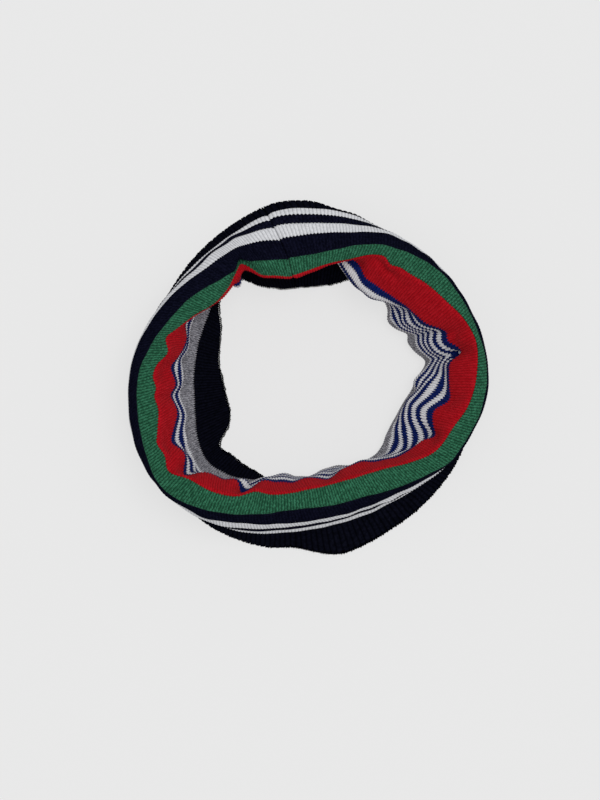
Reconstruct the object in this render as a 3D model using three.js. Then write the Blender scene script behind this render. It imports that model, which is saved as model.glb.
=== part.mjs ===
// Child's knitted neck gaiter: one striped panel, seamed up one side into a tube and turned
// down over itself, so that it stands as a double-walled ring with both ribbed cuffs on the
// floor and the fold on top. Millimetres, +Z up, the ring's opening along Z.
// Every colour is a run of courses knitted from its own yarn, so each colour band is one solid:
// a strip of cloth that goes once round the ring and ends at the side seam.
import * as THREE from "three";

// Overall sizes of the standing ring.
const ringWidth = 193; // across X
const ringDepth = 199; // across Y
const foldHeight = 50; // floor to the middle of the cloth where the fold is highest

// Cloth and seam.
const clothThickness = 2.4; // of the knit at rest
const pieceGap = 0.3; // between touching pieces
const seamAngle = 102; // degrees from +X, where the panel's two side edges meet
const seamRidgeWidth = 3; // the linked edges on the wrong side
const seamRidgeThickness = 1.2;
const seamClearOfCuff = 6; // the ridge stops short of the edge of each cuff

// Care label, a ribbon caught in the seam on the wrong side.
const labelWidth = 12; // along the seam
const labelLength = 26; // round the ring
const labelThickness = 0.5;
const labelBelowFold = 16; // its middle, measured down the outer wall from the navy band
const labelStandOff = 0.8; // from the cloth, as the ribbon is held at one end only

// Bands in knitting order, from the outer cuff's edge over the fold to the inner cuff's edge.
// rows is the number of quads that a band has across its width.
const colours = {
  ribNavy: 0x0c0d16,
  navy: 0x11121f,
  white: 0xc9c9cf,
  green: 0x276446,
  red: 0x9c1520,
  blue: 0x16265e,
  grey: 0x86868d,
};
const cuffWidth = 23;
const bands = [
  { name: "outer_rib_cuff", width: cuffWidth, colour: "ribNavy", rows: 3 },
  { name: "narrow_white_stripe", width: 5, colour: "white", rows: 1 },
  { name: "narrow_navy_stripe", width: 6, colour: "navy", rows: 1 },
  { name: "wide_white_stripe", width: 8, colour: "white", rows: 1 },
  { name: "navy_band", width: 14, colour: "navy", rows: 2 },
  { name: "green_marl_band", width: 13, colour: "green", rows: 2 },
  { name: "red_band", width: 21, colour: "red", rows: 3 },
  { name: "blue_stripe_1", width: 5, colour: "blue", rows: 1 },
  { name: "white_stripe_1", width: 4, colour: "white", rows: 1 },
  { name: "blue_stripe_2", width: 3.5, colour: "blue", rows: 1 },
  { name: "white_stripe_2", width: 3.5, colour: "white", rows: 1 },
  { name: "blue_stripe_3", width: 3.2, colour: "blue", rows: 1 },
  { name: "white_stripe_3", width: 2.8, colour: "white", rows: 1 },
  { name: "blue_stripe_4", width: 3.2, colour: "blue", rows: 1 },
  { name: "white_stripe_4", width: 2.8, colour: "white", rows: 1 },
  { name: "blue_stripe_5", width: 3.2, colour: "blue", rows: 1 },
  { name: "white_stripe_5", width: 2.8, colour: "white", rows: 1 },
  { name: "grey_marl_band", width: 12, colour: "grey", rows: 2 },
  { name: "inner_rib_cuff", width: cuffWidth, colour: "ribNavy", rows: 3 },
];

// How the cloth lies. Each line is the edge of a band, followed once round the ring: its distance
// from the ring's axis and its height, every 30 degrees anticlockwise from +X, as laid in a ring
// of layWidth by layDepth with its fold at layFold.
const layWidth = 193;
const layDepth = 199;
const layFold = 50;
const clothLines = [
  {
    startOf: "outer_rib_cuff",
    radius: [90, 88, 90, 101, 97, 93, 94.5, 98, 100, 97, 96.5, 94],
    height: [0, 0, 0, 0, 0, 0, 0, 0, 0, 0, 0, 0],
  },
  {
    startOf: "narrow_white_stripe",
    radius: [95, 93, 91, 96, 91, 91, 98, 101, 96, 84, 82, 90],
    height: [21, 21, 21, 21, 21, 21, 21, 21, 20, 17, 16, 20],
  },
  {
    startOf: "navy_band",
    radius: [97, 94, 90, 80.5, 84, 89, 99, 103, 91, 78, 78, 89],
    height: [36, 36, 34, 31, 32, 34, 37, 38, 35, 33, 33, 35],
  },
  {
    startOf: "green_marl_band",
    radius: [96, 93, 83, 68, 72, 80, 94, 100, 86, 71.5, 73.5, 89.5],
    height: [45, 45, 43, 38, 39, 43, 46, 47, 45, 44, 44, 45],
  },
  {
    startOf: "red_band",
    radius: [91, 85, 77, 60, 66, 71, 86, 92, 75, 61.5, 61.5, 80],
    height: [50, 50, 47, 38, 39, 44, 49, 50, 48, 46, 46, 48],
  },
  {
    startOf: "blue_stripe_1",
    radius: [77, 69, 63, 62, 68, 72, 77, 82, 70, 57, 56, 70],
    height: [35, 35, 33, 24, 25, 28, 32, 34, 32, 30, 29, 33],
  },
  {
    startOf: "grey_marl_band",
    radius: [63, 58, 58, 62, 68, 70, 72, 77, 68, 55, 55, 54],
    height: [12, 12, 11, 11, 12, 12, 13, 14, 12, 10, 10, 11],
  },
  {
    startOf: "inner_rib_cuff",
    radius: [68, 63, 62, 60, 65, 66, 66, 72, 69, 61, 61, 60],
    height: [4.2, 4.2, 4.4, 6.5, 6.5, 5, 4.4, 4.6, 4.4, 4, 4, 4.2],
  },
  {
    startOf: "end",
    radius: [84, 81, 72, 52, 58, 58, 49.5, 53, 64, 78, 80, 81],
    height: [1.4, 1.4, 2, 4.2, 4, 2, 1.4, 1.4, 1.4, 1.4, 1.4, 1.4],
  },
];

const stationsRound = 48; // quads round the ring in each band
const degree = Math.PI / 180;
const fullTurn = 2 * Math.PI;
const seam = seamAngle * degree;

// Distance of each band's start from the outer cuff's edge, along the cloth.
const startOf = {};
let clothHeight = 0;
for (const band of bands) {
  startOf[band.name] = clothHeight;
  clothHeight += band.width;
}
startOf.end = clothHeight;

// Cubic through four neighbouring values, with the tangents of a Catmull-Rom spline.
function cubic(before, from, to, after, t) {
  const leave = (to - before) / 2;
  const arrive = (after - from) / 2;
  const rise = to - from;
  return (
    from +
    leave * t +
    (3 * rise - 2 * leave - arrive) * t * t +
    (leave + arrive - 2 * rise) * t * t * t
  );
}

// Value of a list that is spaced evenly round the ring, at an angle in radians.
function roundRing(values, angle) {
  const n = values.length;
  const place = (((angle / fullTurn) * n) % n + n) % n;
  const i = Math.floor(place);
  const at = (k) => values[(k + n) % n];
  return cubic(at(i - 1), at(i), at(i + 1), at(i + 2), place - i);
}

// Cubic through unevenly spaced knots, without overshoot at the two ends.
function alongKnots(knots, values, x) {
  const last = knots.length - 1;
  let i = 0;
  while (i < last - 1 && x > knots[i + 1]) i += 1;
  const slope = (a, b) => (values[b] - values[a]) / (knots[b] - knots[a]);
  const step = knots[i + 1] - knots[i];
  const leave = i > 0 ? slope(i - 1, i + 1) : slope(0, 1);
  const arrive = i + 2 <= last ? slope(i, i + 2) : slope(last - 1, last);
  const t = (x - knots[i]) / step;
  const rise = values[i + 1] - values[i];
  return (
    values[i] +
    leave * step * t +
    (3 * rise - (2 * leave + arrive) * step) * t * t +
    ((leave + arrive) * step - 2 * rise) * t * t * t
  );
}

const lineStarts = clothLines.map((line) => startOf[line.startOf]);

// Middle of the cloth at an angle in radians and a distance along the cloth.
function clothPoint(angle, along) {
  const radii = clothLines.map((line) => roundRing(line.radius, angle));
  const heights = clothLines.map((line) => roundRing(line.height, angle));
  const radius = alongKnots(lineStarts, radii, along);
  const height = alongKnots(lineStarts, heights, along);
  return new THREE.Vector3(
    (radius * Math.cos(angle) * ringWidth) / layWidth,
    (radius * Math.sin(angle) * ringDepth) / layDepth,
    (height * foldHeight) / layFold,
  );
}

// Unit normal on the right side of the cloth: outwards on the outer wall, inwards on the inner.
function clothNormal(angle, along) {
  const turn = 0.5 * degree;
  const reach = 0.5;
  const low = Math.max(0, along - reach);
  const high = Math.min(clothHeight, along + reach);
  const round = clothPoint(angle + turn, along).sub(clothPoint(angle - turn, along));
  const up = clothPoint(angle, high).sub(clothPoint(angle, low));
  return round.cross(up).normalize();
}

// A point off the middle of the cloth, kept on or above the floor. The outer cuff's edge
// stands on the floor, so that row is moved level and its rim is flat.
function offCloth(angle, along, distance) {
  const point = clothPoint(angle, along);
  const normal = clothNormal(angle, along);
  if (along === 0) {
    normal.z = 0;
    normal.normalize();
  }
  point.addScaledVector(normal, distance);
  point.z = Math.max(0, point.z);
  return point;
}

// Evenly spaced values from low to high, both included.
function spread(low, high, steps) {
  return Array.from({ length: steps + 1 }, (_, i) => low + ((high - low) * i) / steps);
}

// A band's own rows along the cloth. Neighbouring bands keep the gap between touching pieces.
function bandRows(band) {
  const margin = pieceGap / 2;
  const low = startOf[band.name];
  const high = low + band.width;
  const first = low === 0 ? low : low + margin;
  const last = high === clothHeight ? high : high - margin;
  return spread(first, last, band.rows);
}

// Rows and stations for a piece that lies on the bands. It has its edges where the bands have
// theirs, so the faces of the two layers stay parallel.
function rowsOver(from, to) {
  const inside = bands.flatMap(bandRows).filter((row) => row > from && row < to);
  return [from, ...inside, to];
}

function stationsOver(from, to) {
  const all = spread(seam, seam + fullTurn, stationsRound).slice(1, -1);
  return [from, ...all.filter((angle) => angle > from && angle < to), to];
}

// Closed patch of cloth over a grid of angles and places along the cloth, between two
// distances from the middle of the cloth. face is the side towards the right side.
function clothPatch(angles, places, back, face) {
  const columns = angles.length;
  const rows = places.length;
  const points = [];
  for (const distance of [face, back]) {
    for (const angle of angles) {
      for (const along of places) points.push(...offCloth(angle, along, distance).toArray());
    }
  }
  const index = [];
  const at = (side, column, row) => side * columns * rows + column * rows + row;
  const quad = (a, b, c, d) => index.push(a, b, c, a, c, d);
  for (let i = 0; i < columns - 1; i += 1) {
    for (let j = 0; j < rows - 1; j += 1) {
      quad(at(0, i, j), at(0, i + 1, j), at(0, i + 1, j + 1), at(0, i, j + 1));
      quad(at(1, i, j), at(1, i, j + 1), at(1, i + 1, j + 1), at(1, i + 1, j));
    }
    const top = rows - 1;
    quad(at(0, i, 0), at(1, i, 0), at(1, i + 1, 0), at(0, i + 1, 0));
    quad(at(0, i, top), at(0, i + 1, top), at(1, i + 1, top), at(1, i, top));
  }
  const end = columns - 1;
  for (let j = 0; j < rows - 1; j += 1) {
    quad(at(0, 0, j), at(0, 0, j + 1), at(1, 0, j + 1), at(1, 0, j));
    quad(at(0, end, j), at(1, end, j), at(1, end, j + 1), at(0, end, j + 1));
  }
  const geometry = new THREE.BufferGeometry();
  geometry.setAttribute("position", new THREE.Float32BufferAttribute(points, 3));
  geometry.setIndex(index);
  geometry.computeVertexNormals();
  return geometry;
}

// Angle that an arc of a given length takes at the seam, at a place along the cloth.
function arcAngle(length, along) {
  const point = clothPoint(seam, along);
  return length / Math.hypot(point.x, point.y);
}

function namedMesh(name, geometry, colour) {
  const material = new THREE.MeshStandardMaterial({ color: colour, roughness: 0.9, metalness: 0 });
  const mesh = new THREE.Mesh(geometry, material);
  mesh.name = name;
  return mesh;
}

// A colour band: once round the ring, from one side of the seam to the other.
function makeBand(band) {
  const margin = arcAngle(pieceGap / 2, startOf[band.name] + band.width / 2);
  const angles = stationsOver(seam + margin, seam + fullTurn - margin);
  const half = clothThickness / 2;
  const geometry = clothPatch(angles, bandRows(band), -half, half);
  return namedMesh(band.name, geometry, colours[band.colour]);
}

// The ridge of linking thread and panel edges, on the wrong side of the cloth over the seam.
function makeSeam() {
  const rows = rowsOver(seamClearOfCuff, clothHeight - seamClearOfCuff);
  const half = arcAngle(seamRidgeWidth / 2, startOf.navy_band);
  const face = -clothThickness / 2 - pieceGap;
  const geometry = clothPatch([seam - half, seam + half], rows, face - seamRidgeThickness, face);
  return namedMesh("side_seam", geometry, colours.navy);
}

// The care label: flat against the wrong side of the outer wall, with one end at the seam.
function makeLabel() {
  const upper = startOf.navy_band - labelBelowFold + labelWidth / 2;
  const rows = rowsOver(upper - labelWidth, upper);
  const start = seam + arcAngle(seamRidgeWidth / 2 + pieceGap * 2, upper);
  const angles = stationsOver(start, start + arcAngle(labelLength, upper));
  const face = -clothThickness / 2 - labelStandOff;
  const geometry = clothPatch(angles, rows, face - labelThickness, face);
  return namedMesh("care_label", geometry, colours.white);
}

const gaiter = new THREE.Group();
for (const band of bands) gaiter.add(makeBand(band));
gaiter.add(makeSeam(), makeLabel());

// The origin is the middle of the ring's footprint, on the floor.
const box = new THREE.Box3().setFromObject(gaiter);
const centre = box.getCenter(new THREE.Vector3());
gaiter.position.set(-centre.x, -centre.y, -box.min.z);

export default gaiter;
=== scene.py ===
import math

import bpy
import numpy as np
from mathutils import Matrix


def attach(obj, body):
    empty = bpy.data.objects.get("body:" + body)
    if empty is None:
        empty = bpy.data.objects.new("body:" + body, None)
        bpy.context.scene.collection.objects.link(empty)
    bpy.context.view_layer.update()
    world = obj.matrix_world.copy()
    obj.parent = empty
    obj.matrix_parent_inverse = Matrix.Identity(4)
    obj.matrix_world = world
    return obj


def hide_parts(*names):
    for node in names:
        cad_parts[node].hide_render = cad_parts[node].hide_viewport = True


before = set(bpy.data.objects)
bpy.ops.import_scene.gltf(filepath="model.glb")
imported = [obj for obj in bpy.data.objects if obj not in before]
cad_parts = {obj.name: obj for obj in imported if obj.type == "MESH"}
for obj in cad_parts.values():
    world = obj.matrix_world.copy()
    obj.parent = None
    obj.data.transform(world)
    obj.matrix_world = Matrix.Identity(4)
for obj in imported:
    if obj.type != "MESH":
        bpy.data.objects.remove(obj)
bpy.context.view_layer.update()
print("frame loaded")

mm = 0.001
fullTurn = 2 * math.pi

# A child's neck gaiter: a striped tube of fine rib knit with 2x2 ribbed cuffs, turned down over
# itself and standing as a ring. It is knitted flat and joined by one seam. Sizes are in mm.
cloth = {
    "ringAxis": (1.459, -1.904),  # the ring's own axis in the frame, which every line below is about
    "seamAngle": 102,  # degrees anticlockwise from +X
    "twist": [(0, 3.5), (28, 2.3), (56, -1.7), (90, -3), (159, -3)],  # along it, degrees
    "wales": 336,  # columns of stitches round the tube
    "cuffRibs": 224,
    "waleWidth": 1.6,
    "cuffDraw": 0.9,  # a 2x2 rib relaxes to this share of the plain knit's width
    "coursesPerMm": 1.25,
    "columnsPerWale": 4,
    "rowHeight": 0.95,  # of the mesh along the cloth
    "thickness": 1.9,
    "edgeRound": 1.0,  # a free edge is rounded off over this width
    "edgeThinning": 0.75,
    "tooth": 1.1,  # how far a stitch's point reaches past its two sides
    "toothFade": 2.5,  # from a free edge, where there are no teeth
    "seamStep": 0.45,  # the stripes meet this far off at the seam, each way
    "seamStepFade": 9,
    "seamDip": 0.9,
    "seamDipWidth": 1.1,
}
# Ribs: one for each wale in the plain bands, and wider, squarer ones in the cuffs.
ribs = {
    "plain": {"depth": 0.45, "squareness": 2.0},
    "cuff": {"depth": 0.6, "squareness": 3.0},
    "wrongSide": -0.5,  # share of the depth on the wrong side, where a rib is a furrow
    "atJoin": 0.35,  # share left where a cuff meets the plain knit
    "joinFade": 3,
    "edgeLoss": 0.6,
}

# Bands in knitting order, from the edge of the outer cuff to the edge of the inner one.
bands = [
    {"node": "outer_rib_cuff", "width": 23, "yarn": "cuff"},
    {"node": "narrow_white_stripe", "width": 5, "yarn": "white"},
    {"node": "narrow_navy_stripe", "width": 6, "yarn": "navy"},
    {"node": "wide_white_stripe", "width": 8, "yarn": "white"},
    {"node": "navy_band", "width": 14, "yarn": "navy"},
    {"node": "green_marl_band", "width": 13, "yarn": "green"},
    {"node": "red_band", "width": 21, "yarn": "red"},
    {"node": "blue_stripe_1", "width": 5, "yarn": "blue"},
    {"node": "white_stripe_1", "width": 4, "yarn": "white"},
    {"node": "blue_stripe_2", "width": 3.7, "yarn": "blue"},
    {"node": "white_stripe_2", "width": 3.3, "yarn": "white"},
    {"node": "blue_stripe_3", "width": 3.5, "yarn": "blue"},
    {"node": "white_stripe_3", "width": 2.5, "yarn": "white"},
    {"node": "blue_stripe_4", "width": 3.5, "yarn": "blue"},
    {"node": "white_stripe_4", "width": 2.5, "yarn": "white"},
    {"node": "blue_stripe_5", "width": 3.5, "yarn": "blue"},
    {"node": "white_stripe_5", "width": 2.5, "yarn": "white"},
    {"node": "grey_marl_band", "width": 12, "yarn": "grey"},
    {"node": "inner_rib_cuff", "width": 23, "yarn": "cuff"},
]
bandStart = {}
clothHeight = 0
for band in bands:
    bandStart[band["node"]] = clothHeight
    clothHeight += band["width"]
cuffWidth = bands[0]["width"]

# How the cloth lies. Each line runs round the ring at one distance along the cloth, as pairs of
# an angle in degrees and the line's distance from the ring's axis, and the same for its height.
# An added line says how far it stands off the mix of the lines on its two sides. The outer wall
# and the fold are smooth. The inner wall has too much cloth for its round, so it lies in pleats:
# its lines go in and out at each of them.
lie = [
    {"along": 0, "radius": [
        (0, 90), (30, 88), (60, 90), (75, 94.2), (82, 96), (90, 99.2), (100, 100.2), (110, 98),
        (120, 95.8), (135, 93.4), (150, 92), (180, 94.5), (210, 98), (232, 100.2), (250, 98.8),
        (258, 97.7), (265, 95.8), (270, 97.2), (280, 100.6), (290, 98.3), (300, 96.3), (320, 95.2),
        (335, 94.4),
    ], "height": [
        (0, 0), (180, 0),
    ]},
    {"along": 23, "radius": [
        (0, 95), (30, 93), (60, 91), (75, 93), (90, 93.8), (100, 94.2), (110, 92.2), (120, 89.7),
        (135, 89.3), (150, 90.8), (180, 98), (210, 101), (235, 96.5), (250, 91.5), (260, 86.8),
        (270, 84), (280, 82.3), (290, 81.7), (300, 82), (310, 83.7), (330, 90),
    ], "height": [
        (0, 21), (180, 21), (240, 20), (270, 17), (300, 16), (330, 20),
    ]},
    {"along": 34, "radius": [
        (0, 97), (30, 94.5), (60, 91.5), (75, 87.4), (90, 85.2), (100, 85.7), (110, 86.2),
        (120, 87.2), (135, 86.8), (150, 90.3), (180, 99), (210, 102.8), (235, 97), (250, 88.2),
        (270, 80.4), (290, 78.4), (310, 82.5), (330, 90),
    ], "height": [
        (0, 29.5), (60, 28.5), (90, 27), (120, 27), (150, 28.5), (180, 30), (210, 31), (240, 29),
        (270, 26.5), (300, 26.5), (330, 29),
    ]},
    {"along": 42, "radius": [
        (0, 97.5), (30, 94.5), (60, 90), (75, 82.6), (90, 79), (100, 78), (110, 79.8), (120, 82.2),
        (130, 82.6), (140, 84.8), (150, 88.6), (180, 99), (210, 103), (230, 97.5), (245, 88),
        (260, 81.2), (270, 78.6), (285, 77), (300, 77.8), (310, 80.3), (330, 89),
    ], "height": [
        (0, 36), (60, 34), (90, 31), (120, 32), (150, 34), (180, 37), (210, 38), (240, 35),
        (270, 33), (300, 33), (330, 35),
    ]},
    {"along": 56, "radius": [
        (0, 96.1), (20, 93.9), (40, 91.1), (50, 87.3), (60, 82.9), (70, 76.9), (80, 70.8),
        (90, 67.3), (100, 66.4), (110, 68.6), (116, 71.5), (121, 77), (126, 72), (132, 72.6),
        (140, 75.8), (150, 80.2), (160, 84), (170, 89.5), (180, 93.9), (200, 97.7), (216, 101),
        (222, 98.6), (230, 93.3), (240, 86.2), (250, 79.6), (260, 73.6), (275, 70.8), (290, 70.8),
        (300, 73.3), (310, 77.4), (320, 82.9), (330, 89.5), (340, 92), (350, 95),
    ], "height": [
        (0, 45), (60, 43), (90, 38), (113, 40), (121, 33), (129, 41), (150, 43), (180, 46),
        (210, 47), (240, 45), (270, 44), (300, 44), (330, 45),
    ]},
    {"along": 69, "radius": [
        (0, 91), (12, 93), (20, 90.5), (30, 85), (38, 82), (47, 78.4), (51, 77.8), (54.5, 75.4),
        (58, 78.2), (62, 76.5), (70, 69.6), (80, 64), (90, 59.7), (100, 57), (110, 60.3),
        (115, 63.2), (118, 68.5), (121.5, 74), (125, 72), (128, 70), (132, 67.5), (140, 66.3),
        (150, 71.2), (160, 78.4), (165, 82.7), (170, 79), (175, 84.4), (180, 86.6), (184, 84.4),
        (187, 86.3), (191, 85), (200, 89.3), (203, 91.8), (208, 90.4), (213, 93.4), (220, 86.6),
        (230, 82.2), (238, 77), (245, 68.8), (251, 68), (260, 64.7), (270, 61.4), (285, 59.7),
        (300, 61.4), (310, 65.2), (320, 72.3), (330, 80), (340, 82.7), (350, 88),
    ], "height": [
        (0, 50), (40, 49.5), (60, 47), (75, 42), (90, 38), (113, 38), (121.5, 31), (130, 38.5),
        (150, 44), (180, 49), (210, 50), (240, 48), (270, 46), (300, 46), (330, 48),
    ]},
    {"along": 74, "added": True, "radius": [
        (0, 0), (72, 0.5), (77, 0), (84, -2.2), (90, -3.4), (100, -3.8), (110, -3.1), (116, -3),
        (121.5, -3.5), (126, -1.5), (132, -2.8), (139, -2), (145, 0.6), (152, 0.8), (160, 0),
    ], "height": [
        (0, 1.2), (180, 1.2),
    ]},
    {"along": 90, "radius": [
        (0, 77.3), (4, 77.8), (6.4, 79), (8, 84), (9.6, 85.4), (11.6, 83.8), (13.6, 79.6),
        (15.5, 78.5), (18, 80.6), (21, 77.6), (26, 70.5), (30, 69), (38, 66.3), (48, 63.9),
        (58, 63.2), (62, 64.7), (65, 67.6), (67.5, 69.3), (72, 71), (85, 70), (100, 70), (112, 71),
        (121, 74), (127, 67), (133, 75), (140, 76.5), (150, 77), (156, 76.9), (163, 72.4),
        (172, 75.8), (175, 78.5), (183, 75.2), (187, 79), (194, 76.6), (200, 81.3), (205, 85.7),
        (211, 81.6), (218, 89.6), (222, 79), (230, 74.7), (234, 70.2), (239, 75.8), (243, 69),
        (246, 63.6), (250, 62), (256, 60.8), (260, 60.3), (270, 55.9), (280, 58.6), (290, 54.4),
        (300, 55.3), (310, 61.5), (320, 67.6), (325, 69.4), (330, 71.5), (335.5, 76.8), (340, 73),
        (344.5, 71.4), (348, 74.8), (352, 79), (356, 78),
    ], "height": [
        (0, 35), (30, 35), (60, 33), (75, 31), (90, 28), (120, 28), (150, 28), (180, 32),
        (210, 34), (240, 32), (270, 30), (300, 29), (330, 33),
    ]},
    {"along": 99, "radius": [
        (0, 75.9), (4.6, 75.8), (7, 77.4), (9, 83), (10.6, 81.5), (12, 76.5), (14, 75),
        (16.6, 73.5), (20.3, 76), (23.5, 70.2), (28, 67.3), (32.7, 68), (38, 64.8), (45, 60.2),
        (54, 56.2), (61, 57), (66, 59.4), (69, 61.4), (74, 66), (79, 71), (85, 78), (100, 79),
        (114, 79), (121, 77), (128, 64), (133, 76), (140, 79), (150, 76), (156, 75.5), (161, 73.4),
        (166.5, 72.3), (172.3, 75), (179, 74.5), (183, 73.8), (187, 77), (195.4, 75.2),
        (201.5, 79.2), (206, 81.8), (210.7, 81.8), (215, 82.8), (218, 86), (223, 79),
        (227.3, 76.5), (232, 74), (237.3, 67.6), (242, 70), (246, 62.5), (249.4, 60.5), (256, 58),
        (262, 58), (270, 56), (275, 55.5), (281, 57), (290, 54.8), (300, 54.5), (306, 57),
        (313, 61.3), (320, 66), (324, 68.5), (328, 72), (332, 75), (336, 73), (340, 66),
        (344, 64.3), (348, 67.8), (352, 72.7), (356, 75.6),
    ], "height": [
        (0, 28), (30, 28), (45, 29), (60, 30), (76, 29), (90, 24), (120, 24), (150, 24), (180, 26),
        (210, 27), (240, 26), (270, 25), (300, 24), (330, 27),
    ]},
    {"along": 106, "radius": [
        (1.4, 72.1), (4, 73), (7, 75), (9, 78), (11, 73.5), (14, 70.6), (17, 69.8), (21.5, 72.5),
        (25, 65.6), (30.3, 62.8), (35.8, 66.3), (45, 61), (54, 57.2), (61, 57.2), (66, 59),
        (70, 61), (76, 66), (80, 72), (86, 81), (92, 84), (112, 84), (121, 80), (127, 71),
        (132, 80), (140, 81), (150, 74.5), (156, 73), (161, 72.5), (166.5, 70.4), (172.3, 73.5),
        (179, 71), (183, 72.2), (187, 74), (195.4, 72.6), (201.5, 75.6), (207, 77.4), (210.7, 81),
        (215, 79.5), (220, 83.5), (224, 79), (228, 76.5), (233, 75), (237.5, 69), (242, 71),
        (247, 63), (256, 57.2), (262, 57.6), (270, 56), (277, 54), (283, 55), (292, 54.5),
        (300, 56), (308, 58.8), (316, 63), (320, 67), (324, 70), (328, 71), (332, 69.2),
        (336, 64.4), (340, 60.7), (344, 59.6), (348, 61.8), (352, 63.8), (356.3, 66.9),
    ], "height": [
        (0, 22.5), (30, 22), (60, 22), (76, 22), (90, 19), (120, 19), (150, 19.5), (180, 21),
        (210, 22), (240, 20), (270, 18.5), (300, 18), (330, 22),
    ]},
    {"along": 114, "added": True, "radius": [
        (0, 0), (20, 0), (60, 1), (80, 3), (100, 4), (120, 3), (140, 3), (150, 6), (160, 7.5),
        (200, 7.5), (218, 3), (232, 4), (246, 0.5), (312, 0.6), (320, 3), (324, 2.3), (328, -0.6),
        (332, -3.4), (336, -3), (340, -2.4), (344, -2.2), (348, -3.2), (352, -2.3), (356, -0.3),
    ], "height": [
        (0, 0), (180, 0),
    ]},
    {"along": 124, "radius": [
        (3, 64.2), (8.4, 69), (13, 65), (17.9, 62.8), (22.5, 64.3), (25.9, 60.9), (30, 57.4),
        (36, 56.3), (40.3, 60.5), (48, 63), (62, 64), (76, 70), (88, 77), (110, 77), (121, 79),
        (130, 80), (139, 79), (145, 76), (151, 74.5), (165, 74.2), (180, 74.2), (195, 75.8),
        (210, 79), (220, 81), (230, 77), (238, 71), (246, 62), (256, 56.5), (263, 57), (270, 56),
        (281, 52.8), (290, 54), (302, 57), (310, 60), (316.5, 60.3), (319.5, 58.8), (322.6, 57.2),
        (326, 55.7), (330, 54.7), (334, 54.4), (338, 54.7), (345, 56.5), (352, 60.5),
        (357.8, 58.8),
    ], "height": [
        (0, 12), (30, 12), (60, 11), (90, 11), (120, 12), (150, 11.5), (180, 11.5), (210, 12),
        (240, 12), (270, 10), (300, 10), (330, 11),
    ]},
    {"along": 136, "radius": [
        (0, 63), (8, 66.5), (15, 61.5), (20, 59.5), (24.3, 61.5), (30, 56.8), (35.6, 55.8),
        (42, 60), (52, 62), (62, 65), (76, 67), (90, 68), (110, 68), (118, 70.5), (124, 74),
        (130, 77), (136, 76), (142, 71), (148, 68), (160, 66.5), (170, 66), (180, 66), (190, 66.8),
        (200, 69.3), (210, 73.3), (220, 75), (230, 72), (240, 67), (247, 62.5), (258, 57.3),
        (269, 57.5), (281, 53.6), (288, 53.6), (294, 56), (300, 57.6), (311, 57.6), (318, 56.5),
        (325, 54.6), (337, 54.8), (347, 56.3), (353.5, 58.8),
    ], "height": [
        (0, 4.2), (60, 4.4), (90, 6.5), (120, 6.5), (150, 4.6), (180, 4.4), (270, 4), (330, 4.2),
    ]},
    {"along": 148, "radius": [
        (5, 72), (10, 74), (17, 70), (30, 67), (40, 68), (60, 69), (74, 62), (90, 59), (105, 59),
        (113, 60.5), (118, 63.8), (124, 71), (130, 73.5), (136, 72.5), (142, 68), (150, 62.5),
        (165, 60), (180, 57.6), (195, 57.5), (205, 60), (213, 64), (218, 68.5), (230, 66.5),
        (245, 65), (258, 66), (270, 67), (300, 67), (330, 66),
    ], "height": [
        (0, 1.6), (60, 2.6), (90, 5), (120, 4.6), (145, 3), (165, 1.8), (180, 1.7), (210, 1.9),
        (240, 2.4), (270, 1.8), (330, 1.6),
    ]},
    {"along": 159, "radius": [
        (0, 84), (30, 81), (50, 77), (62, 68), (70, 58.7), (80, 53.3), (93, 51.5), (105.7, 52.2),
        (112, 55), (118, 58.8), (121, 63), (124, 67.5), (130, 70), (136, 69.5), (140, 67.3),
        (144, 64), (150, 58.4), (160, 54.3), (170, 52.5), (180, 49.8), (190, 48.6), (200, 48.6),
        (207, 50.9), (210, 53.1), (213, 58), (216, 63.8), (218.5, 64.3), (225, 62.2), (233, 62),
        (240, 61.3), (247, 62.8), (253, 66.5), (262, 74), (275, 78), (300, 80), (330, 81),
    ], "height": [
        (0, 1.3), (60, 2), (75, 3.6), (90, 4.2), (105, 4), (120, 4), (150, 2), (180, 1.3),
        (215, 1.3), (240, 1.6), (300, 1.3),
    ]},
]


def cubicStep(start, rise, leave, arrive, t):
    # the cubic that climbs by rise while t goes from 0 to 1, with these slopes at its two ends
    cube = (leave + arrive - 2 * rise) * t**3
    return start + leave * t + (3 * rise - 2 * leave - arrive) * t**2 + cube


def ringCurve(pairs, angles):
    # smooth curve through uneven pairs, closed round the ring, that turns only at its own points
    at = np.radians([angle for angle, _ in pairs])
    value = np.array([v for _, v in pairs], float)
    at = np.concatenate([at[-2:] - fullTurn, at, at[:2] + fullTurn])
    value = np.concatenate([value[-2:], value, value[:2]])
    step = np.diff(at)
    slope = np.diff(value) / step
    product = slope[1:] * slope[:-1]
    total = slope[1:] + slope[:-1]
    inner = np.where(product > 0, 2 * product / np.where(product > 0, total, 1), 0)
    tangent = np.concatenate([[0], inner, [0]])
    turned = np.mod(angles - at[1], fullTurn) + at[1]
    i = np.clip(np.searchsorted(at, turned, side="right") - 1, 0, len(step) - 1)
    t = (turned - at[i]) / step[i]
    leave, arrive = tangent[i] * step[i], tangent[i + 1] * step[i]
    return cubicStep(value[i], value[i + 1] - value[i], leave, arrive, t)


lineAlong = np.array([line["along"] for line in lie], float)


def lineValues(key, angles):
    values = [ringCurve(line[key], angles) for line in lie]
    for i, line in enumerate(lie):
        if line.get("added"):
            share = (lineAlong[i] - lineAlong[i - 1]) / (lineAlong[i + 1] - lineAlong[i - 1])
            values[i] = values[i] + values[i - 1] * (1 - share) + values[i + 1] * share
    return values


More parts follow.
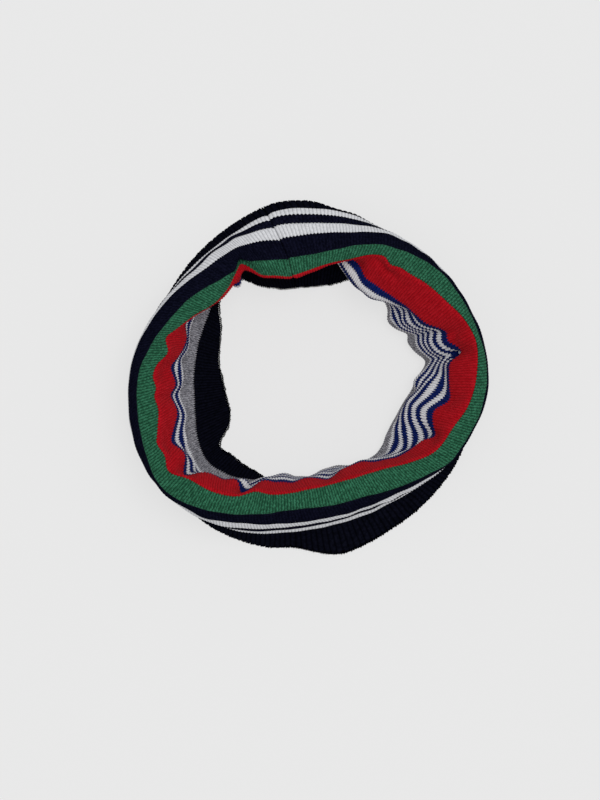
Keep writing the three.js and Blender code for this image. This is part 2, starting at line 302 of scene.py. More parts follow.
def alongCloth(values, place):
    # cubic through the lines' values, one column for each angle, at one place along the cloth
    last = len(lineAlong) - 1
    i = int(np.clip(np.searchsorted(lineAlong, place, side="right") - 1, 0, last - 1))

    def slope(a, b):
        return (values[b] - values[a]) / (lineAlong[b] - lineAlong[a])

    step = lineAlong[i + 1] - lineAlong[i]
    leave = (slope(i - 1, i + 1) if i > 0 else slope(0, 1)) * step
    arrive = (slope(i, i + 2) if i + 2 <= last else slope(last - 1, last)) * step
    t = (place - lineAlong[i]) / step
    return cubicStep(values[i], values[i + 1] - values[i], leave, arrive, t)


def clothRow(angles, place):
    # the middle of the cloth along one course
    radius = alongCloth(lineValues("radius", angles), place)
    return np.stack([
        radius * np.cos(angles) + cloth["ringAxis"][0],
        radius * np.sin(angles) + cloth["ringAxis"][1],
        alongCloth(lineValues("height", angles), place),
    ], axis=-1)


def smoothStep(low, high, x):
    t = np.clip((x - low) / (high - low), 0, 1)
    return t * t * (3 - 2 * t)


# The net: one column for each wale and a row every few courses, still without thickness.
net = {
    "rows": 107,
    "fineSteps": 2880,  # round the ring, to measure a course
    "pleatPlace": 95,  # mm along the cloth, where the pleats are deepest
    "pleatPull": 0.65,  # how far the wales of the inner wall follow its pleats
    "smoothing": 2,
    "angleRow": 60,  # the creases are placed by the angles of this row
}
rowsPerMm = (net["rows"] - 1) / clothHeight


def evenAngles(place, shares):
    # angles at which a share of one course's length has gone by, so that a pleat takes its own
    fine = math.radians(cloth["seamAngle"]) + np.linspace(0, fullTurn, net["fineSteps"] + 1)
    points = clothRow(fine, place)
    length = np.concatenate([[0], np.cumsum(np.linalg.norm(np.diff(points, axis=0), axis=1))])
    return np.interp(shares * length[-1], length, fine)


def evenedRound(grid):
    # each column mixed with those on its two sides; the first and the last are the same one
    ring = grid[:-1]
    ring = (np.roll(ring, 1, 0) + 2 * ring + np.roll(ring, -1, 0)) / 4
    return np.concatenate([ring, ring[:1]])


def unit(vectors):
    return vectors / np.linalg.norm(vectors, axis=-1, keepdims=True)


def outwardOf(grid):
    # the way the cloth's right side faces at each point
    side = np.roll(grid[:-1], -1, 0) - np.roll(grid[:-1], 1, 0)
    return unit(np.cross(np.concatenate([side, side[:1]]), np.gradient(grid, axis=1)))


# Creases pressed into the cloth: where, how deep in mm, and how far they reach in degrees and in
# mm along the cloth, leaning by so many mm along for each degree round.
creases = [
    {"angle": 120.5, "along": 62, "depth": 7, "round": 4, "reach": 3.5, "lean": 0},
    {"angle": 9.3, "along": 97, "depth": 4, "round": 1.5, "reach": 4, "lean": 0},
    {"angle": 56, "along": 76, "depth": 2.2, "round": 7, "reach": 3.5, "lean": -0.25},
    {"angle": 14, "along": 86, "depth": 1.8, "round": 3, "reach": 5, "lean": -0.9},
    {"angle": 349, "along": 87, "depth": 1.0, "round": 3, "reach": 5, "lean": 0.8},
    {"angle": 333, "along": 84, "depth": 1.4, "round": 3, "reach": 6, "lean": 0.9},
    {"angle": 300, "along": 78, "depth": 1.0, "round": 4, "reach": 6, "lean": 0.4},
    {"angle": 206, "along": 80, "depth": 1.2, "round": 3, "reach": 6, "lean": -0.5},
    {"angle": 178, "along": 80, "depth": 1.0, "round": 3, "reach": 6, "lean": 0.4},
    {"angle": 235, "along": 52, "depth": 1.2, "round": 9, "reach": 4, "lean": 0.2},
    {"angle": 310, "along": 12, "depth": 1.6, "round": 8, "reach": 7, "lean": -0.4},
    {"angle": 255, "along": 10, "depth": 1.6, "round": 7, "reach": 7, "lean": 0.5},
]
# Slow waves in the cloth: turns round the ring, and how fast they drift along it.
unevenness = {"seed": 11, "waves": 14, "height": 0.05, "turns": (9, 40), "drift": 0.3, "fadeIn": 12}


def pressIn(angles, places):
    # how far the cloth is pressed in at each of the net's points
    angle, place = np.degrees(angles)[:, None] * np.ones(len(places)), places[None, :]
    depth = np.zeros(angle.shape)
    for crease in creases:
        turned = np.mod(angle - crease["angle"] + 180, 360) - 180
        off = place - crease["along"] - crease["lean"] * turned
        depth += crease["depth"] * np.exp(-(turned / crease["round"])**2 - (off / crease["reach"])**2)
    chance = np.random.default_rng(unevenness["seed"])
    for _ in range(unevenness["waves"]):
        turns = chance.integers(*unevenness["turns"])
        drift = chance.uniform(-unevenness["drift"], unevenness["drift"])
        wave = np.sin(np.radians(angle) * turns + place * drift + chance.uniform(0, fullTurn))
        depth += unevenness["height"] * wave * smoothStep(0, unevenness["fadeIn"], place)
    return depth


def makeNet():
    shares = np.linspace(0, 1, cloth["wales"] + 1)
    places = np.linspace(0, clothHeight, net["rows"])
    fold = bandStart["green_marl_band"]
    foldAngles, pleatAngles = evenAngles(fold, shares), evenAngles(net["pleatPlace"], shares)
    grid = np.zeros((len(shares), len(places), 3))
    for j, place in enumerate(places):
        pull = net["pleatPull"] * smoothStep(fold, net["pleatPlace"], place)
        twist = np.radians(np.interp(place, *zip(*cloth["twist"])))
        grid[:, j] = clothRow(foldAngles * (1 - pull) + pleatAngles * pull + twist, place)
    for _ in range(net["smoothing"]):
        grid = evenedRound(grid)
        grid[:, 1:-1] = (grid[:, :-2] + 2 * grid[:, 1:-1] + grid[:, 2:]) / 4
    across = grid[:, net["angleRow"]]
    angles = np.arctan2(across[:, 1] - cloth["ringAxis"][1], across[:, 0] - cloth["ringAxis"][0])
    return grid - outwardOf(grid) * pressIn(angles, places)[..., None]


def finer(grid, columns, rows):
    # the net at any columns and rows, counted in its own steps, by cubic interpolation
    def weights(t):
        return np.stack([
            -0.5 * t + t**2 - 0.5 * t**3,
            1 - 2.5 * t**2 + 1.5 * t**3,
            0.5 * t + 2 * t**2 - 1.5 * t**3,
            -0.5 * t**2 + 0.5 * t**3,
        ])

    ring = len(grid) - 1
    base = np.floor(columns).astype(int)
    w = weights(columns - base)
    wide = sum(w[k][:, None, None] * grid[(base + k - 1) % ring] for k in range(4))
    first = 2 * wide[:, :1] - wide[:, 1:2]
    final = 2 * wide[:, -1:] - wide[:, -2:-1]
    wide = np.concatenate([first, wide, final], axis=1)
    base = np.clip(np.floor(rows).astype(int), 0, grid.shape[1] - 2)
    w = weights(rows - base)
    at = np.arange(len(wide))[:, None]
    return sum(w[k][..., None] * wide[at, base + k] for k in range(4))


def meshFrom(name, points, quads, stitches, floats):
    # a mesh from numpy arrays, with a UV map in stitches: wales across, courses along
    mesh = bpy.data.meshes.new(name)
    mesh.vertices.add(len(points))
    mesh.vertices.foreach_set("co", points.astype(np.float32).ravel())
    mesh.loops.add(quads.size)
    mesh.loops.foreach_set("vertex_index", quads.astype(np.int32).ravel())
    mesh.polygons.add(len(quads))
    mesh.polygons.foreach_set("loop_start", np.arange(0, quads.size, 4, dtype=np.int32))
    mesh.update(calc_edges=True)
    mesh.polygons.foreach_set("use_smooth", np.ones(len(quads), bool))
    uv = mesh.uv_layers.new(name="stitches")
    uv.uv.foreach_set("vector", stitches[quads.ravel()].astype(np.float32).ravel())
    for key, values in floats.items():
        kind = "FLOAT_VECTOR" if values.ndim == 2 else "FLOAT"
        layer = mesh.attributes.new(key, kind, "POINT")
        field = "vector" if values.ndim == 2 else "value"
        layer.data.foreach_set(field, values.astype(np.float32).ravel())
    mesh.validate()
    piece = bpy.data.objects.new(name, mesh)
    bpy.context.scene.collection.objects.link(piece)
    return piece


def addNode(tree, kind, settings=None, inputs=None):
    # one node, with its settings and its inputs as values or links
    node = tree.nodes.new(kind)
    for key, value in (settings or {}).items():
        setattr(node, key, value)
    for key, value in (inputs or {}).items():
        if isinstance(value, bpy.types.NodeSocket):
            tree.links.new(value, node.inputs[key])
        else:
            node.inputs[key].default_value = value
    return node


def hexColour(code):
    # sRGB hex to linear
    parts = [int(code[i:i + 2], 16) / 255 for i in (0, 2, 4)]
    return [c / 12.92 if c <= 0.04045 else ((c + 0.055) / 1.055) ** 2.4 for c in parts] + [1]


def newTree(name, sockets):
    tree = bpy.data.node_groups.new(name, "GeometryNodeTree")
    tree.interface.new_socket("Geometry", in_out="INPUT", socket_type="NodeSocketGeometry")
    for key, kind in sockets:
        tree.interface.new_socket(key, in_out="INPUT", socket_type=kind)
    tree.interface.new_socket("Geometry", in_out="OUTPUT", socket_type="NodeSocketGeometry")
    return tree, addNode(tree, "NodeGroupInput").outputs


def runTree(piece, tree, values):
    # puts the tree's result in the piece as a plain mesh
    modifier = piece.modifiers.new(tree.name, "NODES")
    modifier.node_group = tree
    for item in tree.interface.items_tree:
        if item.in_out == "INPUT" and item.name in values:
            modifier[item.identifier] = values[item.name]
    bpy.context.view_layer.update()
    evaluated = piece.evaluated_get(bpy.context.evaluated_depsgraph_get())
    made = bpy.data.meshes.new_from_object(evaluated)
    piece.modifiers.remove(modifier)
    piece.data = made
    made.name = piece.name
    return piece


def makeRibTree():
    # lifts a knitted surface into ribs, each a given number of wales wide
    tree, given = newTree("ribs", [
        ("Wales in a rib", "NodeSocketFloat"),
        ("Rib depth", "NodeSocketFloat"),
        ("Squareness", "NodeSocketFloat"),
        ("Yarn", "NodeSocketMaterial"),
    ])
    wale, relief, outward = [
        addNode(tree, "GeometryNodeInputNamedAttribute", {"data_type": kind}, {0: key}).outputs[0]
        for key, kind in (("wale", "FLOAT"), ("relief", "FLOAT"), ("outward", "FLOAT_VECTOR"))
    ]
    # a crown is half a unit high and its two sides half a unit low
    count = addNode(tree, "ShaderNodeMath", {"operation": "DIVIDE"},
                    {0: wale, 1: given["Wales in a rib"]}).outputs[0]
    across = addNode(tree, "ShaderNodeMath", {"operation": "FRACT"}, {0: count}).outputs[0]
    signed = addNode(tree, "ShaderNodeMath", {"operation": "MULTIPLY_ADD"},
                     {0: across, 1: 2.0, 2: -1.0}).outputs[0]
    fromMiddle = addNode(tree, "ShaderNodeMath", {"operation": "ABSOLUTE"}, {0: signed}).outputs[0]
    drop = addNode(tree, "ShaderNodeMath", {"operation": "POWER"},
                   {0: fromMiddle, 1: given["Squareness"]}).outputs[0]
    crown = addNode(tree, "ShaderNodeMath", {"operation": "SUBTRACT"}, {0: 0.5, 1: drop}).outputs[0]
    height = addNode(tree, "ShaderNodeMath", {"operation": "MULTIPLY"},
                     {0: crown, 1: given["Rib depth"]}).outputs[0]
    lift = addNode(tree, "ShaderNodeMath", {"operation": "MULTIPLY"}, {0: height, 1: relief}).outputs[0]
    offset = addNode(tree, "ShaderNodeVectorMath", {"operation": "SCALE"},
                     {0: outward, "Scale": lift}).outputs[0]
    moved = addNode(tree, "GeometryNodeSetPosition", None,
                    {"Geometry": given["Geometry"], "Offset": offset})
    real = addNode(tree, "GeometryNodeRealizeInstances", None, {"Geometry": moved.outputs[0]})
    done = addNode(tree, "GeometryNodeSetMaterial", None,
                   {"Geometry": real.outputs[0], "Material": given["Yarn"]})
    addNode(tree, "NodeGroupOutput", None, {0: done.outputs[0]})
    return tree


loopMesh = {"corners": 9, "yarnCorners": 5, "seed": 5}


def makeLoopTree():
    # hangs small loops of yarn along a line, as on a cast-on edge or a linked seam
    tree, given = newTree("loopsAlong", [
        ("Loops", "NodeSocketInt"),
        ("Loop radius", "NodeSocketFloat"),
        ("Loop stretch", "NodeSocketFloat"),
        ("Yarn radius", "NodeSocketFloat"),
        ("Tilt", "NodeSocketFloat"),
        ("Unevenness", "NodeSocketFloat"),
        ("Yarn", "NodeSocketMaterial"),
    ])
    line = addNode(tree, "GeometryNodeMeshToCurve", None, {"Mesh": given["Geometry"]}).outputs[0]
    even = addNode(tree, "GeometryNodeResampleCurve", {"mode": "COUNT"},
                   {"Curve": line, "Count": given["Loops"]}).outputs[0]
    tangent = addNode(tree, "GeometryNodeInputTangent").outputs[0]
    facing = addNode(tree, "FunctionNodeAlignRotationToVector", {"axis": "Z"},
                     {"Vector": tangent}).outputs[0]
    tilt = addNode(tree, "ShaderNodeCombineXYZ", None, {"X": given["Tilt"]}).outputs[0]
    turned = addNode(tree, "FunctionNodeRotateRotation", {"rotation_space": "LOCAL"},
                     {"Rotation": facing, "Rotate By": tilt}).outputs[0]
    ring = addNode(tree, "GeometryNodeCurvePrimitiveCircle", None,
                   {"Resolution": loopMesh["corners"], "Radius": given["Loop radius"]}).outputs[0]
    yarn = addNode(tree, "GeometryNodeCurvePrimitiveCircle", None,
                   {"Resolution": loopMesh["yarnCorners"], "Radius": given["Yarn radius"]}).outputs[0]
    loop = addNode(tree, "GeometryNodeCurveToMesh", None,
                   {"Curve": ring, "Profile Curve": yarn}).outputs[0]
    size = addNode(tree, "ShaderNodeCombineXYZ", None,
                   {"X": given["Loop stretch"], "Y": 1.0, "Z": 1.0}).outputs[0]
    least = addNode(tree, "ShaderNodeMath", {"operation": "SUBTRACT"},
                    {0: 1.0, 1: given["Unevenness"]}).outputs[0]
    most = addNode(tree, "ShaderNodeMath", None, {0: 1.0, 1: given["Unevenness"]}).outputs[0]
    chance = addNode(tree, "FunctionNodeRandomValue", {"data_type": "FLOAT"},
                     {2: least, 3: most, "Seed": loopMesh["seed"]}).outputs[1]
    size = addNode(tree, "ShaderNodeVectorMath", {"operation": "SCALE"},
                   {0: size, "Scale": chance}).outputs[0]
    placed = addNode(tree, "GeometryNodeInstanceOnPoints", None,
                     {"Points": even, "Instance": loop, "Rotation": turned, "Scale": size})
    real = addNode(tree, "GeometryNodeRealizeInstances", None, {"Geometry": placed.outputs[0]})
    smooth = addNode(tree, "GeometryNodeSetShadeSmooth", None, {"Geometry": real.outputs[0]})
    done = addNode(tree, "GeometryNodeSetMaterial", None,
                   {"Geometry": smooth.outputs[0], "Material": given["Yarn"]})
    addNode(tree, "NodeGroupOutput", None, {0: done.outputs[0]})
    return tree


# Yarns. Acrylic, spun matt and knitted fine: no gloss and hardly any sheen, and every stitch shows
# as a small V. A marl has fibres of other shades spun in. The gap light is painted shade: the share
# of the colour left between stitches. The mix is where the darkest and the lightest shade begin.
yarns = {
    "cuff": {"name": "navyRibAcrylic", "shades": ["07080f", "0b0c16", "11121e"],
             "mix": (0.2, 0.8), "sheen": 0.0, "gap": 0.15},
    "navy": {"name": "navyAcrylic", "shades": ["080915", "0d0e1c", "141527"],
             "mix": (0.2, 0.8), "sheen": 0.0, "gap": 0.45},
    "white": {"name": "whiteAcrylic", "shades": ["cbccd0", "d5d6da", "e0e1e5"],
              "mix": (0.2, 0.8), "sheen": 0.04, "gap": 0.5},
    "green": {"name": "greenMarlAcrylic", "shades": ["204c37", "2b6147", "408364"],
              "mix": (0.15, 0.85), "sheen": 0.02, "gap": 0.06},
    "red": {"name": "redAcrylic", "shades": ["990d18", "a7111b", "b51b26"],
            "mix": (0.2, 0.8), "sheen": 0.02, "gap": 0.6},
    "blue": {"name": "blueAcrylic", "shades": ["0a1749", "0e1d57", "152666"],
             "mix": (0.2, 0.8), "sheen": 0.02, "gap": 0.45},
    "grey": {"name": "greyMarlAcrylic", "shades": ["5c5c63", "84848b", "b0b0b7"],
             "mix": (0.2, 0.8), "sheen": 0.04, "gap": 0.45},
}

# Stitch waves, drawn as bump and painted shade: the UV's axis, turns to a stitch, how thin the dark
# lines are.
stitchWaves = [
    (0, 1, 0.7),  # a wale is a ridge
    (0, 2, 0.4),  # of Vs with two legs each
    (1, 1, 0.6),  # one above the other, as the UV's courses already follow the V
]
spinning = {
    "legShare": 0.35,  # of a stitch's height, from its two legs
    "chanceShare": 0.6,  # of its shade
    "streaks": 4.0,
    "fibres": 5200.0,  # about 0.1 mm across
    "fibreShare": 0.2,
    "bump": 0.5,
    "bumpDepth": 0.25,
}


def makeYarn(yarn):
    material = bpy.data.materials.new(yarn["name"])
    material.use_nodes = True
    tree = material.node_tree
    shader = tree.nodes["Principled BSDF"]
    stitches = addNode(tree, "ShaderNodeUVMap", {"uv_map": "stitches"}).outputs[0]
    place = addNode(tree, "ShaderNodeSeparateXYZ", None, {0: stitches}).outputs
    waves = []
    for axis, turns, power in stitchWaves:
        angle = addNode(tree, "ShaderNodeMath", {"operation": "MULTIPLY"},
                        {0: place[axis], 1: turns * math.pi}).outputs[0]
        sine = addNode(tree, "ShaderNodeMath", {"operation": "SINE"}, {0: angle}).outputs[0]
        size = addNode(tree, "ShaderNodeMath", {"operation": "ABSOLUTE"}, {0: sine}).outputs[0]
        waves.append(addNode(tree, "ShaderNodeMath", {"operation": "POWER"},
                             {0: size, 1: power}).outputs[0])
    ridge, legs, course = waves
    v = addNode(tree, "ShaderNodeMath", {"operation": "MULTIPLY"}, {0: legs, 1: course}).outputs[0]
    ridge = addNode(tree, "ShaderNodeMath", {"operation": "MULTIPLY"},
                    {0: ridge, 1: 1 - spinning["legShare"]}).outputs[0]
    stitch = addNode(tree, "ShaderNodeMath", {"operation": "MULTIPLY_ADD"},
                     {0: v, 1: spinning["legShare"], 2: ridge}).outputs[0]
    # one shade for each leg of each stitch, softened by the spinning of the yarn
    leg = addNode(tree, "ShaderNodeMath", {"operation": "MULTIPLY"}, {0: place[0], 1: 2.0}).outputs[0]
    legNumber = addNode(tree, "ShaderNodeMath", {"operation": "FLOOR"}, {0: leg}).outputs[0]
    courseNumber = addNode(tree, "ShaderNodeMath", {"operation": "FLOOR"}, {0: place[1]}).outputs[0]
    cell = addNode(tree, "ShaderNodeCombineXYZ", None, {0: legNumber, 1: courseNumber}).outputs[0]
    chance = addNode(tree, "ShaderNodeTexWhiteNoise", {"noise_dimensions": "2D"},
                     {"Vector": cell}).outputs["Value"]
    spun = addNode(tree, "ShaderNodeTexNoise", {"noise_dimensions": "2D"},
                   {"Vector": stitches, "Scale": spinning["streaks"], "Detail": 2.0,
                    "Roughness": 0.7}).outputs[0]
    spun = addNode(tree, "ShaderNodeMath", {"operation": "MULTIPLY"},
                   {0: spun, 1: 1 - spinning["chanceShare"]}).outputs[0]
    shade = addNode(tree, "ShaderNodeMath", {"operation": "MULTIPLY_ADD"},
                    {0: chance, 1: spinning["chanceShare"], 2: spun}).outputs[0]
    ramp = addNode(tree, "ShaderNodeValToRGB", None, {0: shade})
    low, high = yarn["mix"]
    shades = ramp.color_ramp.elements
    shades[0].position, shades[1].position = low, high
    shades.new((low + high) / 2)
    for stop, code in zip(shades, yarn["shades"]):
        stop.color = hexColour(code)
    # painted shade: the colour is darkened in the gaps between stitches
    depth = addNode(tree, "ShaderNodeMath", {"operation": "MULTIPLY_ADD"},
                    {0: stitch, 1: 1 - yarn["gap"], 2: yarn["gap"]}).outputs[0]
    grey = addNode(tree, "ShaderNodeCombineXYZ", None, {0: depth, 1: depth, 2: depth}).outputs[0]
    colour = addNode(tree, "ShaderNodeMix", {"data_type": "RGBA", "blend_type": "MULTIPLY"},
                     {0: 1.0, 6: ramp.outputs[0], 7: grey}).outputs[2]
    tree.links.new(colour, shader.inputs["Base Color"])
    inSpace = addNode(tree, "ShaderNodeTexCoord").outputs["Object"]
    fibres = addNode(tree, "ShaderNodeTexNoise", None,
                     {"Vector": inSpace, "Scale": spinning["fibres"], "Detail": 2.0}).outputs[0]
    height = addNode(tree, "ShaderNodeMath", {"operation": "MULTIPLY_ADD"},
                     {0: fibres, 1: spinning["fibreShare"], 2: stitch}).outputs[0]
    bump = addNode(tree, "ShaderNodeBump", None,
                   {"Strength": spinning["bump"], "Distance": spinning["bumpDepth"] * mm,
                    "Height": height}).outputs[0]
    tree.links.new(bump, shader.inputs["Normal"])
    shader.inputs["Roughness"].default_value = 1.0
    shader.inputs["Specular IOR Level"].default_value = 0.0
    shader.inputs["Sheen Weight"].default_value = yarn["sheen"]
    shader.inputs["Sheen Roughness"].default_value = 0.5
    return material


for yarn in yarns.values():
    yarn["material"] = makeYarn(yarn)
ribTree = makeRibTree()
loopTree = makeLoopTree()
print("yarns and node trees made")

grid = makeNet()
print("net laid:", grid.shape[0] - 1, "wales by", grid.shape[1], "rows")


def bandShell(band):
    # a closed strip of knit, once round the ring, in mm
    start = bandStart[band["node"]]
    end = start + band["width"]
    columns = np.linspace(0, cloth["wales"], cloth["wales"] * cloth["columnsPerWale"] + 1)
    fraction = np.abs(np.mod(columns, 1) - 0.5) * 2  # 1 between wales, 0 in the middle of one
    fromSeam = np.minimum(columns, cloth["wales"] - columns) * cloth["waleWidth"]
    side = np.where(columns < cloth["wales"] / 2, 1, -1)
    steps = max(4, round(band["width"] / cloth["rowHeight"]))
    places = np.linspace(start, end, steps + 1)
    fromEdge = np.minimum(places, clothHeight - places)
    free = np.clip(1 - fromEdge / cloth["edgeRound"], 0, 1)
    half = cloth["thickness"] / 2 * np.sqrt(1 - cloth["edgeThinning"] * free**2)
    shift = cloth["tooth"] * (0.5 - fraction)
    shift = shift + side * cloth["seamStep"] * np.exp(-fromSeam / cloth["seamStepFade"])
    rows = places[None, :] + shift[:, None] * smoothStep(0, cloth["toothFade"], fromEdge)[None, :]
    lastRow = net["rows"] - 1.001  # the interpolation needs a next row
    middle = finer(grid, columns, np.clip(rows * rowsPerMm, 0, lastRow))
    outward = unit(evenedRound(evenedRound(outwardOf(middle))))
    dip = cloth["seamDip"] * np.exp(-(fromSeam / cloth["seamDipWidth"]) ** 2)
    middle = middle - outward * dip[:, None, None]
    thick = outward * half[None, :, None]
    points = np.stack([middle + thick, middle - thick])
    # nothing goes below the floor, and the ribs are still to come
    points[..., 2] = np.maximum(points[..., 2], ribs["cuff"]["depth"] / 2)
    return points, outward, columns, places, free


def shellQuads(nu, nv):
    # quads of a sheet's two faces and its four edges
    index = np.arange(2 * nu * nv).reshape(2, nu, nv)

    def strip(a, b, c, d):
        return np.stack([a, b, c, d], axis=-1).reshape(-1, 4)

    f, k = index
    return np.concatenate([
        strip(f[:-1, :-1], f[1:, :-1], f[1:, 1:], f[:-1, 1:]),
        strip(k[:-1, :-1], k[:-1, 1:], k[1:, 1:], k[1:, :-1]),
        strip(f[:-1, 0], k[:-1, 0], k[1:, 0], f[1:, 0]),
        strip(f[:-1, -1], f[1:, -1], k[1:, -1], k[:-1, -1]),
        strip(f[0, :-1], f[0, 1:], k[0, 1:], k[0, :-1]),
        strip(f[-1, :-1], k[-1, :-1], k[-1, 1:], f[-1, 1:]),
    ])


def makeBand(band):
    points, outward, columns, places, free = bandShell(band)
    _, nu, nv, _ = points.shape
    cuff = band["yarn"] == "cuff"
    rib = ribs["cuff" if cuff else "plain"]
    wale = np.broadcast_to(columns[None, :, None], (2, nu, nv)).ravel()
    courses = np.broadcast_to(places[None, None, :] * cloth["coursesPerMm"], (2, nu, nv)).ravel()
    # ribs fade at a cuff's join to the plain knit and at its free edge
    relief = np.ones((2, nu, nv))
    relief[1] = ribs["wrongSide"]
    if cuff:
        toJoin = cuffWidth - places if places[0] == 0 else places - (clothHeight - cuffWidth)
        full = smoothStep(0, ribs["joinFade"], toJoin)
        relief = relief * (ribs["atJoin"] + (1 - ribs["atJoin"]) * full)[None, None, :]
    relief = relief * (1 - ribs["edgeLoss"] * free)[None, None, :]
    data = {
        "wale": wale,
        "relief": relief.ravel(),
        "outward": np.broadcast_to(outward[None], points.shape).reshape(-1, 3),
    }
    name = band["node"] + "_knit"
    ribWales = cloth["wales"] / cloth["cuffRibs"] if cuff else 1.0
    stitches = np.stack([wale / ribWales, courses], axis=-1)
    piece = meshFrom(name, points.reshape(-1, 3) * mm, shellQuads(nu, nv), stitches, data)
    runTree(piece, ribTree, {
        "Wales in a rib": ribWales,
        "Rib depth": rib["depth"] * mm,
        "Squareness": rib["squareness"],
        "Yarn": yarns[band["yarn"]]["material"],
    })
    for key in ("wale", "relief", "outward"):
        piece.data.attributes.remove(piece.data.attributes[key])
    return piece


for band in bands:
    band["piece"] = makeBand(band)
    print("knitted", band["node"], len(band["piece"].data.polygons), "faces")


def lineObject(name, points):
    # a bare line, for loops to hang on
    mesh = bpy.data.meshes.new(name)
    steps = [(i, i + 1) for i in range(len(points) - 1)]
    mesh.from_pydata([tuple(p) for p in points * mm], steps, [])
    line = bpy.data.objects.new(name, mesh)
    bpy.context.scene.collection.objects.link(line)
    return line


def hangLoops(piece, points, count, loops, yarn):
    # loops of yarn along a line of points, made part of the piece's own mesh
    line = lineObject(piece.name + "_loops", points)
    runTree(line, loopTree, {
        "Loops": count,
        "Loop radius": loops["radius"] * mm,
        "Loop stretch": loops["stretch"],
        "Yarn radius": loops["yarn"] * mm,
        "Tilt": loops["tilt"],
        "Unevenness": loops["uneven"],
        "Yarn": yarns[yarn]["material"],
    })
    with bpy.context.temp_override(active_object=piece, selected_editable_objects=[piece, line]):
        bpy.ops.object.join()


# Both free edges are finished with a row of small loops, the yarn going over the edge.
edging = {"loops": 420, "inFromEdge": 0.5, "radius": 0.95, "yarn": 0.32, "stretch": 1.0, "tilt": 0.6,
          "uneven": 0.22, "lowest": 1.6}
halfWales = np.linspace(0, cloth["wales"], 2 * cloth["wales"] + 1)
for band, place in ((bands[0], edging["inFromEdge"]), (bands[-1], clothHeight - edging["inFromEdge"])):
    points = finer(grid, halfWales, np.array([place]) * rowsPerMm)[:, 0]
    points[:, 2] = np.maximum(points[:, 2], edging["lowest"])
    hangLoops(band["piece"], points, edging["loops"], edging, band["yarn"])
print("cuff edges finished")


def underCloth(columns, places, below):
    # points so far under the cloth's middle, on its wrong side, and the way its right side faces
    at = np.mod(columns, cloth["wales"])
    middle = finer(grid, at, places * rowsPerMm)
    side = finer(grid, np.mod(at + 1, cloth["wales"]), places * rowsPerMm) - middle
    outward = unit(np.cross(side, np.gradient(middle, axis=1)))
    return middle - outward * np.asarray(below)[..., None], outward


# The seam's two edges, linked together on the wrong side, make a narrow ridge there.
seam = {
    "width": 3,
    "thickness": 1.2,
    "clearOfEdge": 6,
    "sides": 12,
    "walesRound": 3,
    "taper": 4,  # at each end
    "endSize": 0.25,
    "stitchEvery": 1.8,
    "stitches": {"radius": 0.69, "yarn": 0.25, "stretch": 2.2, "tilt": 0.5, "uneven": 0.05},
}


def makeSeam():
    places = np.arange(seam["clearOfEdge"], clothHeight - seam["clearOfEdge"] + 0.5, 1.0)
    turns = np.linspace(0, fullTurn, seam["sides"] + 1)[:-1]
    columns = np.cos(turns) * seam["width"] / 2 / cloth["waleWidth"]
    below = (cloth["thickness"] + seam["thickness"]) / 2
    depth = below + np.sin(turns) * seam["thickness"] / 2
    points, _ = underCloth(columns, places, depth[:, None])
    centre = points.mean(axis=0, keepdims=True)
    fromEnd = np.minimum(places - places[0], places[-1] - places)
    size = seam["endSize"] + (1 - seam["endSize"]) * smoothStep(0, seam["taper"], fromEnd)
    points = centre + (points - centre) * size[None, :, None]
    count, rows = len(turns), len(places)
    index = np.arange(count * rows).reshape(count, rows)
    nextOne = np.roll(index, -1, 0)
    sides = np.stack([index[:, :-1], index[:, 1:], nextOne[:, 1:], nextOne[:, :-1]], axis=-1)
    caps = []
    for ring in (index[:, 0], index[::-1, -1]):
        caps += [(ring[k], ring[k + 1], ring[-k - 2], ring[-k - 1]) for k in range(count // 2 - 1)]
    quads = np.concatenate([sides.reshape(-1, 4), np.array(caps)])
    across = np.repeat(turns / fullTurn * seam["walesRound"], rows)
    stitches = np.stack([across, np.tile(places, count)], axis=-1)
    piece = meshFrom("side_seam_ridge", points.reshape(-1, 3) * mm, quads, stitches, {})
    piece.data.materials.append(yarns["navy"]["material"])
    line, _ = underCloth(np.array([0.0]), places, below)
    loops = int((clothHeight - 2 * seam["clearOfEdge"]) / seam["stitchEvery"])
    hangLoops(piece, line[0], loops, seam["stitches"], "navy")
    return piece


def ribbonMaterial():
    material = bpy.data.materials.new("whitePolyesterRibbon")
    material.use_nodes = True
    tree = material.node_tree
    shader = tree.nodes["Principled BSDF"]
    place = addNode(tree, "ShaderNodeTexCoord").outputs["Object"]
    weave = addNode(tree, "ShaderNodeTexNoise", None, {"Vector": place, "Scale": 3000.0}).outputs[0]
    ramp = addNode(tree, "ShaderNodeValToRGB", None, {0: weave})
    ramp.color_ramp.elements[0].color = hexColour("d9d9d6")
    ramp.color_ramp.elements[1].color = hexColour("f0f0ee")
    tree.links.new(ramp.outputs[0], shader.inputs["Base Color"])
    bump = addNode(tree, "ShaderNodeBump", None,
                   {"Strength": 0.2, "Distance": 0.1 * mm, "Height": weave}).outputs[0]
    tree.links.new(bump, shader.inputs["Normal"])
    shader.inputs["Roughness"].default_value = 0.45
    return material


# A plain ribbon caught in the seam on the wrong side of the outer wall, hidden between the layers.
label = {"width": 12, "length": 26, "thickness": 0.5, "lowest": 20, "standOff": 0.8, "besideSeam": 0.6,
         "squares": (26, 6)}


def makeLabel():
    places = label["lowest"] + np.linspace(0, label["width"], label["squares"][1] + 1)
    start = (seam["width"] / 2 + label["besideSeam"]) / cloth["waleWidth"]
    columns = start + np.linspace(0, label["length"] / cloth["waleWidth"], label["squares"][0] + 1)
    near, outward = underCloth(columns, places, cloth["thickness"] / 2 + label["standOff"])
    points = np.stack([near, near - outward * label["thickness"]])
    _, nu, nv, _ = points.shape
    stitches = np.stack([
        np.broadcast_to(columns[None, :, None], (2, nu, nv)).ravel(),
        np.broadcast_to(places[None, None, :], (2, nu, nv)).ravel(),
    ], axis=-1)
    quads = shellQuads(nu, nv)
    piece = meshFrom("care_label_ribbon", points.reshape(-1, 3) * mm, quads, stitches, {})
    piece.data.materials.append(ribbonMaterial())
    return piece


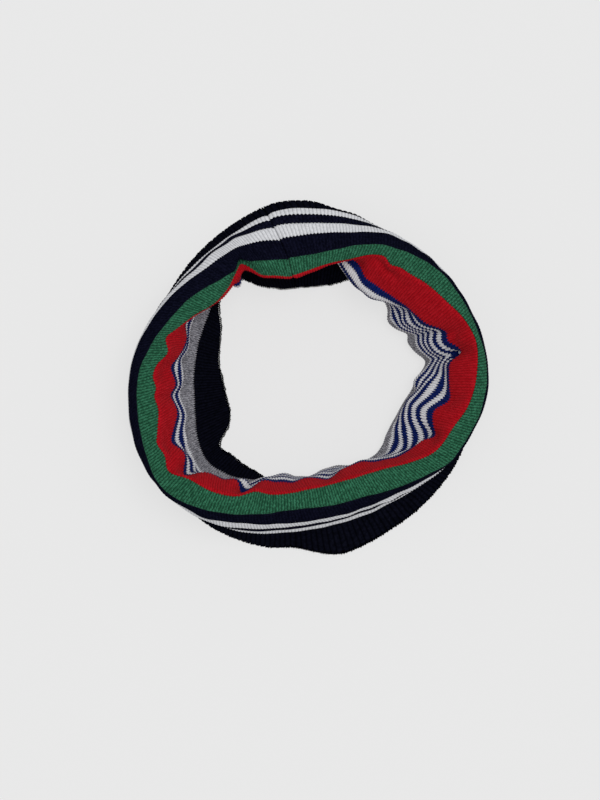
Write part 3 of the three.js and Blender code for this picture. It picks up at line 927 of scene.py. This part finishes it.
hidden = [
    {"node": "side_seam", "piece": makeSeam(), "slot": "seam_thread"},
    {"node": "care_label", "piece": makeLabel(), "slot": "label_ribbon"},
]
for part in hidden:
    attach(part["piece"], "root")
    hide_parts(part["node"])
print("seam and label made")

for band in bands:
    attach(band["piece"], "root")
    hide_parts(band["node"])

# Studio: a pale floor, a soft sky and a large soft lamp from the upper right.
studio = {
    "floorHex": "e7e7e7",
    "floorGlow": 0.84,  # share of the floor's light that comes through it from below
    "floorSize": 8.0,  # metres
    "sky": 0.7,
    "lamp": 1.3,
    "lampTilt": (14, 0, 128),  # degrees
    "lampSpread": 34,
}


def makeStudio():
    half = studio["floorSize"] / 2
    mesh = bpy.data.meshes.new("floor")
    corners = [(-half, -half, 0), (half, -half, 0), (half, half, 0), (-half, half, 0)]
    mesh.from_pydata(corners, [], [(0, 1, 2, 3)])
    floor = bpy.data.objects.new("floor", mesh)
    bpy.context.scene.collection.objects.link(floor)
    paper = bpy.data.materials.new("paperBackdrop")
    paper.use_nodes = True
    shader = paper.node_tree.nodes["Principled BSDF"]
    colour = hexColour(studio["floorHex"])
    dimmed = [c * (1 - studio["floorGlow"]) for c in colour[:3]]
    shader.inputs["Base Color"].default_value = dimmed + [1]
    shader.inputs["Emission Color"].default_value = colour
    shader.inputs["Emission Strength"].default_value = studio["floorGlow"]
    shader.inputs["Roughness"].default_value = 1.0
    shader.inputs["Specular IOR Level"].default_value = 0.0
    mesh.materials.append(paper)
    world = bpy.data.worlds.new("softSky")
    world.use_nodes = True
    sky = world.node_tree.nodes["Background"]
    sky.inputs[0].default_value = (1, 1, 1, 1)
    sky.inputs[1].default_value = studio["sky"]
    bpy.context.scene.world = world
    lamp = bpy.data.lights.new("softbox", "SUN")
    lamp.energy = studio["lamp"]
    lamp.angle = math.radians(studio["lampSpread"])
    holder = bpy.data.objects.new("softbox", lamp)
    holder.rotation_euler = [math.radians(a) for a in studio["lampTilt"]]
    bpy.context.scene.collection.objects.link(holder)
    bpy.context.scene.view_settings.view_transform = "Standard"


# Camera: straight down from 1.6 m, with the ring a little above the middle of the picture.
camera = {
    "height": 1.6,
    "aim": (-5.65, -12.4),  # from the ring's axis, mm
    "view": 0.452,  # metres of floor along the long side of the picture
}


def makeCamera():
    data = bpy.data.cameras.new("camera")
    holder = bpy.data.objects.new("camera", data)
    x = (cloth["ringAxis"][0] + camera["aim"][0]) * mm
    y = (cloth["ringAxis"][1] + camera["aim"][1]) * mm
    holder.location = (x, y, camera["height"])
    data.lens = data.sensor_width * camera["height"] / camera["view"]
    data.clip_start = 0.01
    bpy.context.scene.collection.objects.link(holder)
    bpy.context.scene.camera = holder


makeStudio()
makeCamera()
print("studio and camera set")
